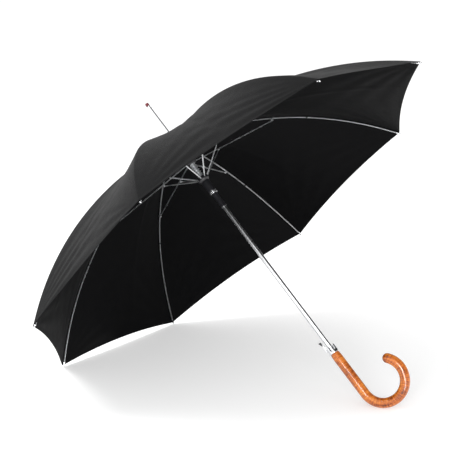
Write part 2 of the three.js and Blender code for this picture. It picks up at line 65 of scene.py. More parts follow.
RIBS = 8
PANEL = 2 * math.pi / RIBS
RIB_ARC = 708.0
TIP_RADIUS = 515.0
TIP_ANGLE = math.asin(TIP_RADIUS / RIB_ARC)
ARC_CENTRE = -math.sqrt(RIB_ARC**2 - TIP_RADIUS**2)

RUNNER_TRAVEL = joints["runner_slide"]["range_m"][1] / MM
RUNNER_FOOT = 41.5
FOOT_IN_COLLAR = 3.0
COLLAR_TOP = RUNNER_FOOT + FOOT_IN_COLLAR - RUNNER_TRAVEL
COLLAR_HEIGHT = 17
COLLAR_BOTTOM = COLLAR_TOP - COLLAR_HEIGHT
WOOD_TOP = COLLAR_BOTTOM - 0.35
GRIP_LENGTH = 104
BEND_TOP = WOOD_TOP - GRIP_LENGTH
CROOK_RADIUS = 46.2
CROOK_TURN = math.radians(219)
HINGE = (10.3, COLLAR_TOP + 7)

SHAFT_RADIUS = 5
SHAFT_BORE_RADIUS = 4.2
HUB_BORE = 5.35


def azimuth(rib):
    """A rib's direction about the shaft."""
    return (rib - 0.5) * 2 * math.pi / RIBS


BUTTON_AZIMUTH = azimuth(5)
WINDOW_AZIMUTH = math.radians(315)


def row(points, turn=0.0):
    """Points of the umbrella's frame, turned about its shaft, as metres in the row frame."""
    p = np.atleast_2d(np.array(points, float))
    c, s = math.cos(turn), math.sin(turn)
    p = np.stack([p[:, 0] * c - p[:, 1] * s, p[:, 0] * s + p[:, 1] * c, p[:, 2]], axis=1)
    return ORIGIN + MM * p @ AXES


# ---- meshes ----

ROUND_STEPS = 72
FINE_STEPS = 96
SHARP_ANGLE = 32.0


class Shape:
    """Vertices in the umbrella's frame and the faces between them."""

    def __init__(self, verts, faces):
        self.verts = np.array(verts, float).reshape(-1, 3)
        self.faces = [tuple(int(i) for i in face) for face in faces]

    def __add__(self, other):
        shift = len(self.verts)
        faces = self.faces + [tuple(i + shift for i in face) for face in other.faces]
        return Shape(np.vstack([self.verts, other.verts]), faces)

    def moved(self, y):
        return Shape(self.verts + np.array([0, y, 0]), self.faces)


def shade(mesh, sharp=SHARP_ANGLE):
    """Smooth shading, broken at edges sharper than the angle."""
    mesh.shade_smooth()
    mesh.set_sharp_from_angle(angle=math.radians(sharp))


def mesh_object(name, shape, material, turn=0.0, sharp=SHARP_ANGLE):
    mesh = bpy.data.meshes.new(name)
    mesh.from_pydata(row(shape.verts, turn).tolist(), [], shape.faces)
    mesh.validate()
    shade(mesh, sharp)
    mesh.materials.append(material)
    obj = bpy.data.objects.new(name, mesh)
    bpy.context.scene.collection.objects.link(obj)
    return obj


def applied(obj):
    """Puts the object's modifiers into its mesh."""
    bpy.context.view_layer.update()
    graph = bpy.context.evaluated_depsgraph_get()
    mesh = bpy.data.meshes.new_from_object(obj.evaluated_get(graph))
    obj.modifiers.clear()
    obj.data = mesh
    shade(mesh)
    return obj


def cut(obj, shape, turn):
    """Takes the closed shape away from the object."""
    tool = mesh_object("cutter", shape, obj.data.materials[0], turn)
    modifier = obj.modifiers.new("cut", "BOOLEAN")
    modifier.operation, modifier.solver, modifier.object = "DIFFERENCE", "EXACT", tool
    modifier.use_self = True
    applied(obj)
    bpy.data.objects.remove(tool)


def bevelled(obj, width, segments=2):
    """Rounds the object's sharp edges."""
    modifier = obj.modifiers.new("bevel", "BEVEL")
    modifier.width, modifier.segments = width * MM, segments
    modifier.limit_method, modifier.angle_limit = "ANGLE", math.radians(40)
    modifier.use_clamp_overlap = True
    return applied(obj)


def loft(rings, closed_loop=False):
    """Rings with the same number of points, joined one to the next. Its ends are closed by flat
    faces, or it runs on from its last ring to its first."""
    rings = [np.array(ring, float) for ring in rings]
    n = len(rings[0])
    verts = np.vstack(rings)
    faces = []
    steps = len(rings) if closed_loop else len(rings) - 1
    for j in range(steps):
        a, b = j * n, ((j + 1) % len(rings)) * n
        faces += [(a + i, a + (i + 1) % n, b + (i + 1) % n, b + i) for i in range(n)]
    if not closed_loop:
        faces.append(tuple(range(n))[::-1])
        faces.append(tuple((len(rings) - 1) * n + i for i in range(n)))
    return Shape(verts, faces)


def lathe(profile, segments=ROUND_STEPS):
    """A profile of (radius, height) points turned about Z. It may start and end on the axis."""
    angles = np.arange(segments) * 2 * math.pi / segments
    verts, rows, faces = [], [], []
    for r, z in profile:
        if r < 1e-6:
            rows.append([len(verts)] * segments)
            verts.append((0, 0, z))
        else:
            rows.append(list(range(len(verts), len(verts) + segments)))
            verts += [(r * math.cos(a), r * math.sin(a), z) for a in angles]
    on_axis = profile[0][0] < 1e-6 and profile[-1][0] < 1e-6
    pairs = list(zip(rows, rows[1:])) + ([] if on_axis else [(rows[-1], rows[0])])
    for low, high in pairs:
        for i in range(segments):
            j = (i + 1) % segments
            corners = [low[i], low[j], high[j], high[i]]
            face = [c for n, c in enumerate(corners) if c != corners[n - 1]]
            if len(set(face)) > 2:
                faces.append(tuple(dict.fromkeys(face)))
    return Shape(verts, faces)


EDGE_SHARE = 0.45  # a rounded corner takes at most this share of each of its edges


def rounded(profile, radius, steps=4):
    """The outline with every corner rounded but its two ends."""
    points = [np.array(p, float) for p in profile]
    out = [points[0]]
    for before, corner, after in zip(points, points[1:], points[2:]):
        a, b = before - corner, after - corner
        la, lb = np.linalg.norm(a), np.linalg.norm(b)
        reach = min(radius, EDGE_SHARE * la, EDGE_SHARE * lb)
        start, end = corner + a / la * reach, corner + b / lb * reach
        for i in range(steps + 1):
            t = i / steps
            out.append((1 - t) ** 2 * start + 2 * t * (1 - t) * corner + t**2 * end)
    out.append(points[-1])
    return out


def circle(radius, count):
    angles = np.arange(count) * 2 * math.pi / count
    return np.stack([radius * np.cos(angles), radius * np.sin(angles)], axis=1)


def sweep(path, section, side=(0, 1, 0), scale=None):
    """A flat section carried along a path. Its first axis stays along side, as far as it can."""
    path = np.array(path, float)
    tangents = np.gradient(path, axis=0)
    tangents /= np.linalg.norm(tangents, axis=1)[:, None]
    rings = []
    for i, (point, tangent) in enumerate(zip(path, tangents)):
        across = np.array(side, float) if np.ndim(side) == 1 else side[i]
        across = across - tangent * (across @ tangent)
        across /= np.linalg.norm(across)
        up = np.cross(tangent, across)
        size = 1.0 if scale is None else scale[i]
        rings.append(point + size * (section[:, :1] * across + section[:, 1:] * up))
    return loft(rings)


def box(low, high):
    x, y, z = zip(low, high)
    verts = [(x[i], y[j], z[k]) for i in (0, 1) for j in (0, 1) for k in (0, 1)]
    faces = [(0, 1, 3, 2), (4, 6, 7, 5), (0, 4, 5, 1), (2, 3, 7, 6), (0, 2, 6, 4), (1, 5, 7, 3)]
    return Shape(verts, faces)


def plate(outline, low, high):
    """A flat outline in the XZ plane, from one Y to another."""
    return loft([[(x, y, z) for x, z in outline] for y in (low, high)])


def rings_about(centre, corners, count=32):
    """Circles about a Y axis through the XZ point, one for each (radius, y)."""
    x, z = centre
    return [[(x + a, y, z + b) for a, b in circle(r, count)] for r, y in corners]


def disc(centre, radius, low, high, dome=0.0):
    """A pin or rivet across the XZ plane, from one Y to another, with or without domed ends."""
    corners = [(radius, low), (radius, high)]
    if dome:
        edge = min(dome, EDGE_SHARE * radius)
        small, rise = radius - edge, 0.6 * edge
        corners = [(small, low - rise), *corners, (small, high + rise)]
    return loft(rings_about(centre, corners))


def eye(centre, outer, inner, low, high):
    """A flat ring across the XZ plane."""
    corners = [(inner, low), (outer, low), (outer, high), (inner, high)]
    return loft(rings_about(centre, corners), closed_loop=True)


def bar_between(start, end, section):
    """A straight bar of the given section between two points of the XZ plane."""
    start, end = np.array(start, float), np.array(end, float)
    path = [(p[0], 0, p[1]) for p in (start, (start + end) / 2, end)]
    return sweep(path, section)


def channel(width, depth, wall):
    """A steel section with a rounded back and a groove along its underside."""
    groove, corner, draft = 0.7, 0.45, 0.1
    half, top = width / 2, depth / 2
    cheek = 0.3 * corner
    outer = [(-half, -top), (-half, top - corner), (-half + cheek, top - cheek),
             (-half + corner, top), (half - corner, top), (half - cheek, top - cheek),
             (half, top - corner), (half, -top)]
    inner = [(half - wall, -top), (half - wall - draft, groove - top),
             (wall - half + draft, groove - top), (wall - half, -top)]
    return np.array(outer + inner)[::-1]


def rectangle(width, depth):
    x, y = width / 2, depth / 2
    return np.array([(-x, -y), (x, -y), (x, y), (-x, y)])


# ---- materials ----


class Nodes:
    """A material's node tree, with short calls for the nodes used here."""

    def __init__(self, name):
        self.material = bpy.data.materials.new(name)
        self.material.use_nodes = True
        self.tree = self.material.node_tree
        self.shader = self.tree.nodes["Principled BSDF"]

    def node(self, kind, **settings):
        node = self.tree.nodes.new(kind)
        for key, value in settings.items():
            setattr(node, key, value)
        return node

    def link(self, value, socket):
        if isinstance(value, bpy.types.NodeSocket):
            self.tree.links.new(value, socket)
        else:
            socket.default_value = value

    def math(self, operation, a, b=0.0, clamp=False):
        node = self.node("ShaderNodeMath", operation=operation, use_clamp=clamp)
        self.link(a, node.inputs[0])
        self.link(b, node.inputs[1])
        return node.outputs[0]

    def attribute(self, name):
        return self.node("ShaderNodeAttribute", attribute_name=name).outputs["Fac"]

    def place(self):
        return self.node("ShaderNodeTexCoord").outputs["Object"]

    def scaled(self, vector, x, y):
        mapping = self.node("ShaderNodeMapping")
        self.link(vector, mapping.inputs["Vector"])
        mapping.inputs["Scale"].default_value = (x, y, 1)
        return mapping.outputs[0]

    def noise(self, vector, scale, detail=4.0, roughness=0.55, distortion=0.0):
        node = self.node("ShaderNodeTexNoise")
        self.link(vector, node.inputs["Vector"])
        node.inputs["Scale"].default_value = scale
        node.inputs["Detail"].default_value = detail
        node.inputs["Roughness"].default_value = roughness
        node.inputs["Distortion"].default_value = distortion
        return node.outputs["Fac"]

    def ramp(self, value, stops):
        node = self.node("ShaderNodeValToRGB")
        elements = node.color_ramp.elements
        while len(elements) < len(stops):
            elements.new(0.5)
        for element, (place, colour) in zip(elements, stops):
            element.position = place
            element.color = (*colour, 1)
        self.link(value, node.inputs[0])
        return node.outputs["Color"]

    def spread(self, value, low, high):
        """A value of 0 to 1 moved to the given limits."""
        node = self.node("ShaderNodeMapRange")
        self.link(value, node.inputs[0])
        node.inputs[3].default_value, node.inputs[4].default_value = low, high
        return node.outputs[0]

    def bump(self, height, strength, distance, normal=None):
        node = self.node("ShaderNodeBump")
        self.link(height, node.inputs["Height"])
        node.inputs["Strength"].default_value = strength
        node.inputs["Distance"].default_value = distance
        if normal is not None:
            self.link(normal, node.inputs["Normal"])
        return node.outputs[0]

    def set(self, **values):
        for key, value in values.items():
            self.link(value, self.shader.inputs[key.replace("_", " ")])
        return self.material


def metal(name, colour, roughness, brushed=0.0, wear=1.0):
    """Bare or plated metal. wear is how uneven its polish is, brushed adds a fine grain."""
    m = Nodes(name)
    worn = m.noise(m.place(), 260, 6)
    fine = m.noise(m.place(), 2400, 3)
    rough = m.spread(worn, roughness * (1 - 0.2 * wear), roughness * (1 + 0.35 * wear))
    m.set(Base_Color=(*colour, 1), Metallic=1.0, Roughness=rough)
    m.set(Normal=m.bump(fine, 0.02 * wear + brushed, 0.00004))
    return m.material


def plastic(name, colour, roughness, coat=0.0, grain=0.04):
    m = Nodes(name)
    cloudy = m.noise(m.place(), 150, 5)
    m.set(Base_Color=(*colour, 1), Roughness=m.spread(cloudy, roughness * 0.85, roughness * 1.2))
    m.set(IOR=1.5, Coat_Weight=coat, Coat_Roughness=0.08)
    m.set(Normal=m.bump(m.noise(m.place(), 3200, 2), grain, 0.00005))
    return m.material


def varnished_wood():
    m = Nodes("varnished_wood")
    uv = m.node("ShaderNodeUVMap", uv_map="grain").outputs[0]

    def grain(x, y, *settings):
        """Noise with x waves a metre along the wood and y across it."""
        return m.noise(m.scaled(uv, x, y), 1, *settings)

    broad = grain(14, 95, 5, 0.6, 0.6)
    streak = grain(28, 640, 6, 0.7, 0.3)
    pores = grain(120, 2300, 3, 0.6)
    cloud = grain(38, 34, 3)
    ripple = grain(520, 60, 3, 0.6, 0.4)
    figure = m.math("ADD", m.math("MULTIPLY", broad, 0.3), m.math("MULTIPLY", streak, 0.35))
    figure = m.math("ADD", figure, m.math("MULTIPLY", ripple, 0.35))
    base = m.ramp(figure, [(0.38, (0.05, 0.008, 0.002)), (0.45, (0.24, 0.048, 0.005)),
                           (0.51, (0.47, 0.115, 0.010)), (0.60, (0.66, 0.235, 0.03))])
    dark = m.math("MULTIPLY", m.spread(pores, 0.2, 1.25), m.spread(cloud, 0.55, 1.35))
    tint = m.ramp(m.spread(dark, 0.55, 1.1), [(0.0, (0.25, 0.18, 0.15)), (1.0, (1.0, 1.0, 1.0))])
    mix = m.node("ShaderNodeMix", data_type="RGBA", blend_type="MULTIPLY")
    mix.inputs["Factor"].default_value = 1.0
    m.link(base, mix.inputs["A"])
    m.link(tint, mix.inputs["B"])
    m.set(Base_Color=mix.outputs["Result"], Roughness=0.34, IOR=1.5, Specular_IOR_Level=0.2)
    m.set(Coat_Weight=1.0, Coat_Roughness=0.035, Coat_IOR=1.5)
    m.set(Normal=m.bump(grain(10, 20, 2), 0.12, 0.0012))
    return m.material


THREAD_PITCH = 0.00042
STITCHES_PER_METRE = 400.0
STITCH_SHARE = 0.62
STITCH_HALF_WIDTH = 0.00035
HEM_STITCHES = 0.0055
SEAM_STITCHES = 0.0022


def black_cloth():
    """Woven cloth with a row of stitches along its hem and one along each rib's seam."""
    m = Nodes("black_cloth")
    uv = m.node("ShaderNodeUVMap", uv_map="weave").outputs[0]
    split = m.node("ShaderNodeSeparateXYZ")
    m.link(uv, split.inputs[0])
    thread = 2 * math.pi / THREAD_PITCH
    warp = m.math("SINE", m.math("MULTIPLY", split.outputs[0], thread))
    weft = m.math("SINE", m.math("MULTIPLY", split.outputs[1], thread))
    weave = m.math("MULTIPLY", warp, weft)
    slubs = m.noise(m.place(), 60, 5, 0.6)
    hem, rib = m.attribute("from_hem"), m.attribute("from_rib")
    hem_run, rib_run = m.attribute("along_hem"), m.attribute("along_rib")

    def stitches(distance, where, run):
        away = m.math("ABSOLUTE", m.math("SUBTRACT", distance, where))
        line = m.math("LESS_THAN", away, STITCH_HALF_WIDTH)
        part = m.math("FRACT", m.math("MULTIPLY", run, STITCHES_PER_METRE))
        return m.math("MULTIPLY", line, m.math("LESS_THAN", part, STITCH_SHARE))

    thread_mask = m.math("ADD", stitches(hem, HEM_STITCHES, hem_run),
                         stitches(rib, SEAM_STITCHES, rib_run), clamp=True)
    tone = m.math("ADD", m.spread(slubs, 0.25, 0.6), m.math("MULTIPLY", thread_mask, 0.35))
    tones = [(0.0, (0.0006, 0.0006, 0.0008)), (1.0, (0.0052, 0.0052, 0.0056))]
    m.set(Base_Color=m.ramp(tone, tones))
    m.set(Roughness=m.spread(slubs, 0.5, 0.66), IOR=1.46, Specular_IOR_Level=0.06)
    m.set(Sheen_Weight=0.02, Sheen_Roughness=0.4)
    folds = m.bump(m.noise(m.place(), 7, 3, 0.5), 0.25, 0.006)
    woven = m.bump(weave, 0.22, 0.00008, folds)
    m.set(Normal=m.bump(thread_mask, 0.5, 0.0004, woven))
    return m.material


CHROME = metal("chrome", (0.82, 0.83, 0.845), 0.1)
SHAFT_CHROME = metal("shaft_chrome", (0.80, 0.81, 0.825), 0.3, wear=0.15)
STEEL = metal("steel", (0.78, 0.79, 0.80), 0.34, brushed=0.05)
BLACK = plastic("black_plastic", (0.011, 0.011, 0.013), 0.3, coat=0.25)
RED = plastic("red_plastic", (0.11, 0.004, 0.010), 0.2, coat=0.6, grain=0.01)
WOOD = varnished_wood()
CLOTH = black_cloth()


def done(obj, body, slot, *nodes):
    """Says which body the piece rides on and which CAD nodes it replaces. slot, what it is made
    of, is not used.
    """
    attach(obj, body)
    if nodes:
        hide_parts(*nodes)
    return obj


# ---- shaft, crown, cap and ferrule ----

SHAFT_IN_WOOD = 40
SHAFT_TOP = 221
ARM_SLOT_WIDTH = 2.3
BEYOND_HUB = 30
WIRE_RADIUS = 0.55

# The hinge centres of the arms at their hubs, as (radius, height).
CROWN_PIVOT = np.array([9.5, 217.0])
SLIDER_PIVOT = np.array([10.0, 167.0])
RUNNER_PIVOT = np.array([12.0, 121.5])
SIDE_STEP = 2.75  # the stretchers lie this far beside the ribs and the struts


def add_shaft():
    bottom = WOOD_TOP - SHAFT_IN_WOOD
    profile = rounded([(SHAFT_BORE_RADIUS, bottom), (SHAFT_RADIUS, bottom),
                       (SHAFT_RADIUS, SHAFT_TOP), (SHAFT_BORE_RADIUS, SHAFT_TOP)], 0.2, 2)
    tube = mesh_object("shaft_tube", lathe(profile, FINE_STEPS), SHAFT_CHROME)
    done(tube, "frame", "chrome", "shaft")


def hub(name, body, node, profile, slot, side_step=0.0):
    """A turned plastic hub with eight slots for its arms."""
    obj = mesh_object(name, lathe(profile, FINE_STEPS), BLACK)
    inner, low, high = slot
    cheek = ARM_SLOT_WIDTH / 2
    for rib in range(1, RIBS + 1):
        notch = box((inner, side_step - cheek, low), (BEYOND_HUB, side_step + cheek, high))
        cut(obj, notch, azimuth(rib))
    bevelled(obj, 0.18)
    done(obj, body, "black_plastic", node)


def ring_wire(name, body, node, radius, height):
    """The ring that a hub's arms are strung on."""
    section = circle(WIRE_RADIUS, 12)
    rings = []
    for a in np.arange(FINE_STEPS) * 2 * math.pi / FINE_STEPS:
        rings.append([((radius + out) * math.cos(a), (radius + out) * math.sin(a), height + up)
                      for out, up in section])
    done(mesh_object(name, loft(rings, closed_loop=True), STEEL), body, "steel", node)


def add_crown():
    profile = rounded([(HUB_BORE, 208), (11.4, 208), (12.6, 212), (12.6, 219.6), (11, 222.8),
                       (HUB_BORE, 222.8)], 0.9)
    hub("crown_body", "frame", "crown", profile, (6.6, 207, 219.7))
    ring_wire("crown_ring_wire", "frame", "crown_wire", *CROWN_PIVOT)
    cap = rounded([(5.1, 226.3), (12, 226.3), (12.2, 227), (10.4, 228.5), (7.6, 230.2),
                   (5.6, 231.2), (5.1, 231)], 0.8)
    dome = mesh_object("canopy_cap_dome", lathe(cap, FINE_STEPS), BLACK)
    done(dome, "frame", "black_plastic", "canopy_cap")
    rosette = [(5.2, 225.6), (17, 225.1), (17.4, 225.35), (17, 225.6), (5.2, 226.1)]
    washer = mesh_object("canopy_rosette", lathe(rosette, FINE_STEPS), CLOTH)
    done(washer, "frame", "black_cloth")


def add_ferrule():
    spike = rounded([(0, 198), (3.85, 198), (3.85, 225), (3.95, 231), (3.6, 328.4), (3.5, 330),
                     (2.2, 330), (2.2, 334), (0, 334)], 0.4)
    body = mesh_object("ferrule_spike", lathe(spike), SHAFT_CHROME)
    done(body, "frame", "chrome", "ferrule")
    ring = rounded([(3.75, 322), (4.15, 322), (4.15, 324.4), (3.75, 324.4)], 0.25)
    done(mesh_object("ferrule_ring", lathe(ring), SHAFT_CHROME), "frame", "chrome")
    end = rounded([(0, 334.4), (2.55, 334.4), (2.55, 330.35), (4.1, 330.35), (4.2, 331.2),
                   (4.1, 336.2), (3.4, 338.2), (2.3, FERRULE_TOP), (0, FERRULE_TOP)], 0.7)
    done(mesh_object("ferrule_end_cap", lathe(end), RED), "frame", "red_plastic", "ferrule_end")


# ---- slider, spring and runner ----


def add_slider():
    profile = rounded([(HUB_BORE, 162), (10.6, 162), (12.2, 164), (12.2, 169), (11.4, 170.2),
                       (HUB_BORE, 170.2)], 0.8)
    hub("slider_body", "slider", "stretcher_slider", profile, (6.9, 164.4, 172), SIDE_STEP)
    radius, height = SLIDER_PIVOT
    ring_wire("slider_ring_wire", "slider", "slider_wire", math.hypot(radius, SIDE_STEP), height)


def add_spring():
    """The opening spring, with a closed turn at each end."""
    wire, radius, turns, count = 0.68, 6.3, 8.5, 640
    bottom, top = 117.3, 161.0
    t = np.linspace(0, 1, count)
    eased = np.clip((t - 0.07) / 0.86, 0, 1)
    height = bottom + (top - bottom) * eased + 0.6 * (t - eased)
    angle = 2 * math.pi * turns * t
    path = np.stack([radius * np.cos(angle), radius * np.sin(angle), height], axis=1)
    up = np.tile([0.0, 0.0, 1.0], (count, 1))
    spring = mesh_object("opening_spring_coil", sweep(path, circle(wire, 12), up), STEEL)
    done(spring, "runner", "steel", "opening_spring")
    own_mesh(spring)


def add_runner():
    """A slotted head, a fluted barrel, a chrome band and a plain tube, from top to bottom."""
    profile = rounded([(HUB_BORE, 113), (10.2, 113), (13.6, 117.3), (13.6, 123.7), (12.9, 124.5),
                       (7.5, 124.5), (7.5, 116.3), (HUB_BORE, 116.3)], 0.7)
    hub("runner_hub_body", "runner", "runner_hub", profile, (8.9, 119.1, 126))
    ring_wire("runner_ring_wire", "runner", "runner_wire", *RUNNER_PIVOT)

    barrel = rounded([(HUB_BORE, 84), (8.6, 84), (9.3, 85.6), (9.8, 106), (9.8, 112.65),
                      (HUB_BORE, 112.65)], 0.7)
    body = mesh_object("runner_barrel_body", lathe(barrel, FINE_STEPS), BLACK)
    flutes, low, high, half_width = 12, 88.5, 103.5, 0.55
    flute = plate([(9.35, low), (12, low), (12, high), (9.35, high)], -half_width, half_width)
    for number in range(flutes):
        cut(body, flute, number * 2 * math.pi / flutes)
    bevelled(body, 0.2)
    done(body, "runner", "black_plastic", "runner_barrel")

    band = rounded([(HUB_BORE, 78.5), (8.6, 78.5), (9.0, 79.1), (9.0, 80.3), (8.7, 80.7),
                    (8.7, 81.5), (9.0, 81.9), (9.0, 83.05), (8.6, 83.65), (HUB_BORE, 83.65)], 0.3)
    ring = mesh_object("runner_band_ring", lathe(band, FINE_STEPS), CHROME)
    done(ring, "runner", "steel", "runner_band")
    tube = rounded([(HUB_BORE, RUNNER_FOOT), (7.0, RUNNER_FOOT), (7.4, 42), (7.4, 43.5),
                    (7.2, 43.7), (6.4, 43.7), (6.4, 70), (6.9, 78.15), (HUB_BORE, 78.15)], 0.5)
    tube = mesh_object("runner_tube_body", lathe(tube, FINE_STEPS), BLACK)
    done(tube, "runner", "black_plastic", "runner_tube")


# ---- handle, collar and release button ----

WOOD_RADIUS = 10.6
NECK_RADIUS = 9.95
NECK_LENGTH = 18.0
WOOD_STEPS = 56
COLLAR_STEPS = 128


def add_crook():
    """The wood: a neck under the collar, a straight grip, the bend and a domed end."""
    path = [(0, 0, WOOD_TOP - GRIP_LENGTH * t) for t in np.linspace(0, 1, 46)]
    for t in np.linspace(0, 1, 110)[1:]:
        angle = CROOK_TURN * t
        path.append((CROOK_RADIUS * (1 - math.cos(angle)), 0,
                     BEND_TOP - CROOK_RADIUS * math.sin(angle)))
    path = np.array(path)
    lengths = np.concatenate([[0], np.cumsum(np.linalg.norm(np.diff(path, axis=0), axis=1))])

    def swell(s):
        rise = min(1.0, s / NECK_LENGTH)
        rise = rise * rise * (3 - 2 * rise)
        edge = 1 - 0.09 * math.exp(-s / 0.5)
        return (NECK_RADIUS + 0.65 * rise) * edge

    radii = [swell(s) for s in lengths]
    end = path[-1]
    tangent = end - path[-2]
    tangent /= np.linalg.norm(tangent)
    dome_steps, dome_spacing = 12, 1.4
    for i in range(1, dome_steps + 1):
        a = i / dome_steps * math.pi / 2
        path = np.vstack([path, end + tangent * WOOD_RADIUS * math.sin(a)])
        radii.append(max(WOOD_RADIUS * math.cos(a), 0.05))
        lengths = np.append(lengths, lengths[-1] + dome_spacing)
    wood = sweep(path, circle(1.0, WOOD_STEPS), scale=radii)
    obj = mesh_object("crook_wood", wood, WOOD, azimuth(1), sharp=60)
    layer = obj.data.uv_layers.new(name="grain")
    around = 2 * math.pi * WOOD_RADIUS * MM / WOOD_STEPS
    corners = obj.data.loops
    for polygon in obj.data.polygons:
        spots = [corners[k].vertex_index % WOOD_STEPS for k in polygon.loop_indices]
        wraps = WOOD_STEPS - 1 in spots
        for loop, spot in zip(polygon.loop_indices, spots):
            step = corners[loop].vertex_index // WOOD_STEPS
            layer.data[loop].uv = (lengths[step] * MM,
                                   (WOOD_STEPS if wraps and spot == 0 else spot) * around)
    done(obj, "frame", "varnished_wood", "crook_handle")


def add_collar():
    """The chrome cup with its window and its lever slot, the lever's two ears and a bead."""
    cup = rounded([(HUB_BORE, COLLAR_BOTTOM), (10.7, COLLAR_BOTTOM), (11, COLLAR_BOTTOM + 0.6),
                   (11, COLLAR_TOP - 0.2), (10.8, COLLAR_TOP), (9.2, COLLAR_TOP),
                   (9.2, COLLAR_TOP - 13), (HUB_BORE, COLLAR_TOP - 13)], 0.25, 3)
    obj = mesh_object("collar_cup", lathe(cup, COLLAR_STEPS), CHROME)
    outside, above = 14, COLLAR_TOP + 1
    cut(obj, box((8, -2.5, COLLAR_TOP - 7), (outside, 2.5, above)), BUTTON_AZIMUTH)
    low, half, corner = COLLAR_TOP - 11.8, 6.5, 3
    arch = [(-half, above), (-half, low + corner)]
    arch += [(-half + corner - corner * math.cos(t), low + corner - corner * math.sin(t))
             for t in np.linspace(0.2, math.pi / 2, 6)]
    arch += [(half - corner + corner * math.sin(t), low + corner - corner * math.cos(t))
             for t in np.linspace(0, math.pi / 2 - 0.2, 6)]
    arch += [(half, low + corner), (half, above)]
    cut(obj, loft([[(x, y, z) for y, z in arch] for x in (7.2, outside)]), WINDOW_AZIMUTH)
    bevelled(obj, 0.2, 3)
    done(obj, "frame", "chrome", "handle_collar")

    x, z = HINGE
    outline = [(9.5, COLLAR_TOP - 6), (12.1, COLLAR_TOP - 6), (12.2, z - 1)]
    outline += [(x + 1.9 * math.cos(t), z + 2.2 * math.sin(t))
                for t in np.linspace(0, math.pi, 12)]
    outline += [(8.7, z - 1), (9.3, COLLAR_TOP - 1)]
    near, far = 2.55, 3.75
    ears = plate(outline, near, far) + plate(outline, -far, -near)
    ears = mesh_object("collar_ears", ears, CHROME, BUTTON_AZIMUTH)
    bevelled(ears, 0.2)
    done(ears, "frame", "chrome")
    low, high = COLLAR_BOTTOM + 1.4, COLLAR_BOTTOM + 2.6
    band = rounded([(10.9, low), (11.25, low), (11.25, high), (10.9, high)], 0.3, 3)
    done(mesh_object("collar_bead", lathe(band, COLLAR_STEPS), CHROME), "frame", "chrome")


def bend(start, middle, end, steps):
    """Points of a quadratic curve in the XZ plane, for each step from 0 to 1."""
    start, middle, end = np.array([start, middle, end], float)
    return [(1 - s) ** 2 * start + 2 * s * (1 - s) * middle + s * s * end for s in steps]


def add_release():
    """The lever's pin and spring, the catch lever and its thumb button."""
    x, z = HINGE
    pin = disc(HINGE, 0.75, -4.2, 4.2, dome=0.3)
    pin = mesh_object("lever_hinge_pin", pin, STEEL, BUTTON_AZIMUTH)
    done(pin, "frame", "steel", "lever_pin")
    radius, count = 1.4, 90
    t = np.linspace(0, 1, count)
    coil = np.stack([x + radius * np.cos(6 * math.pi * t), 1.55 + 0.75 * t,
                     z + radius * np.sin(6 * math.pi * t)], axis=1)
    spring = sweep(coil, circle(0.14, 8))
    spring = mesh_object("lever_torsion_spring", spring, STEEL, BUTTON_AZIMUTH)
    done(spring, "frame", "steel", "lever_spring")

    hook = rounded([(6.95, COLLAR_TOP + 0.2), (9.6, COLLAR_TOP - 2.4), (11, COLLAR_TOP - 2.4),
                    (11.2, COLLAR_TOP + 4.4), (12.1, z - 0.6), (12.1, z + 2),
                    (10.2, COLLAR_TOP + 12), (10.2, COLLAR_TOP + 17.6), (8.9, COLLAR_TOP + 17.6),
                    (8.6, COLLAR_TOP + 3.6), (6.95, COLLAR_TOP + 1.4), (6.95, COLLAR_TOP + 0.25)],
                   0.5, 3)
    lever = mesh_object("release_lever_arm", plate(hook, -1.3, 1.3), CHROME, BUTTON_AZIMUTH)
    bevelled(lever, 0.15)
    done(lever, "lever", "chrome", "release_lever")

    foot, top = (12.4, COLLAR_TOP + 9.9), (15.6, COLLAR_TOP + 18.2)
    fin = [(10.35, COLLAR_TOP + 12.4), foot]
    fin += bend(foot, (13.6, foot[1] + 3.4), top, np.linspace(0.1, 1, 12))
    fin += bend(top, (12.4, top[1] + 0.6), (10.35, top[1]), np.linspace(0.1, 1, 8))
    button = mesh_object("release_button_fin", plate(fin, -3.6, 3.6), BLACK, BUTTON_AZIMUTH)
    bevelled(button, 0.5, 4)
    done(button, "lever", "black_plastic", "release_button")


# ---- ribs, stretchers and struts ----


def arc_point(radius, offset=0.0):
    """The point of a rib's arc at a distance from the shaft, moved outwards by the offset."""
    angle = math.asin(radius / RIB_ARC)
    reach = RIB_ARC + offset
    return np.array([reach * math.sin(angle), ARC_CENTRE + reach * math.cos(angle)])


ELBOW_PLACE = arc_point(248)
ELBOW = arc_point(248, -4)
ALONG = (ELBOW - SLIDER_PIVOT) / np.linalg.norm(ELBOW - SLIDER_PIVOT)
STRUT_LUG = SLIDER_PIVOT + 69 * ALONG
STRUT_PIN = STRUT_LUG + 3.2 * np.array([ALONG[1], -ALONG[0]])
PIN_RADIUS = 0.75
ARM_WIDTH = 2.2
TIE_RADIUS = 327.0


def arm(start, end, depth):
    """A fluted steel arm with a flattened neck at its hub and an eye at each end."""
    along = (end - start) / np.linalg.norm(end - start)
    half, flat = ARM_WIDTH / 2, rectangle(ARM_WIDTH - 0.1, depth - 0.3)
    outer, inner, neck = 1.95, 1.1, 0.7
    shape = bar_between(start + 6.5 * along, end - 1.2 * along, channel(ARM_WIDTH, depth, 0.5))
    shape += bar_between(start + 1.5 * along, start + 9 * along, rectangle(2 * neck, 1.7))
    shape += bar_between(end - 9 * along, end - 1.3 * along, flat)
    return shape + eye(start, outer, inner, -neck, neck) + eye(end, outer, inner, -half, half)


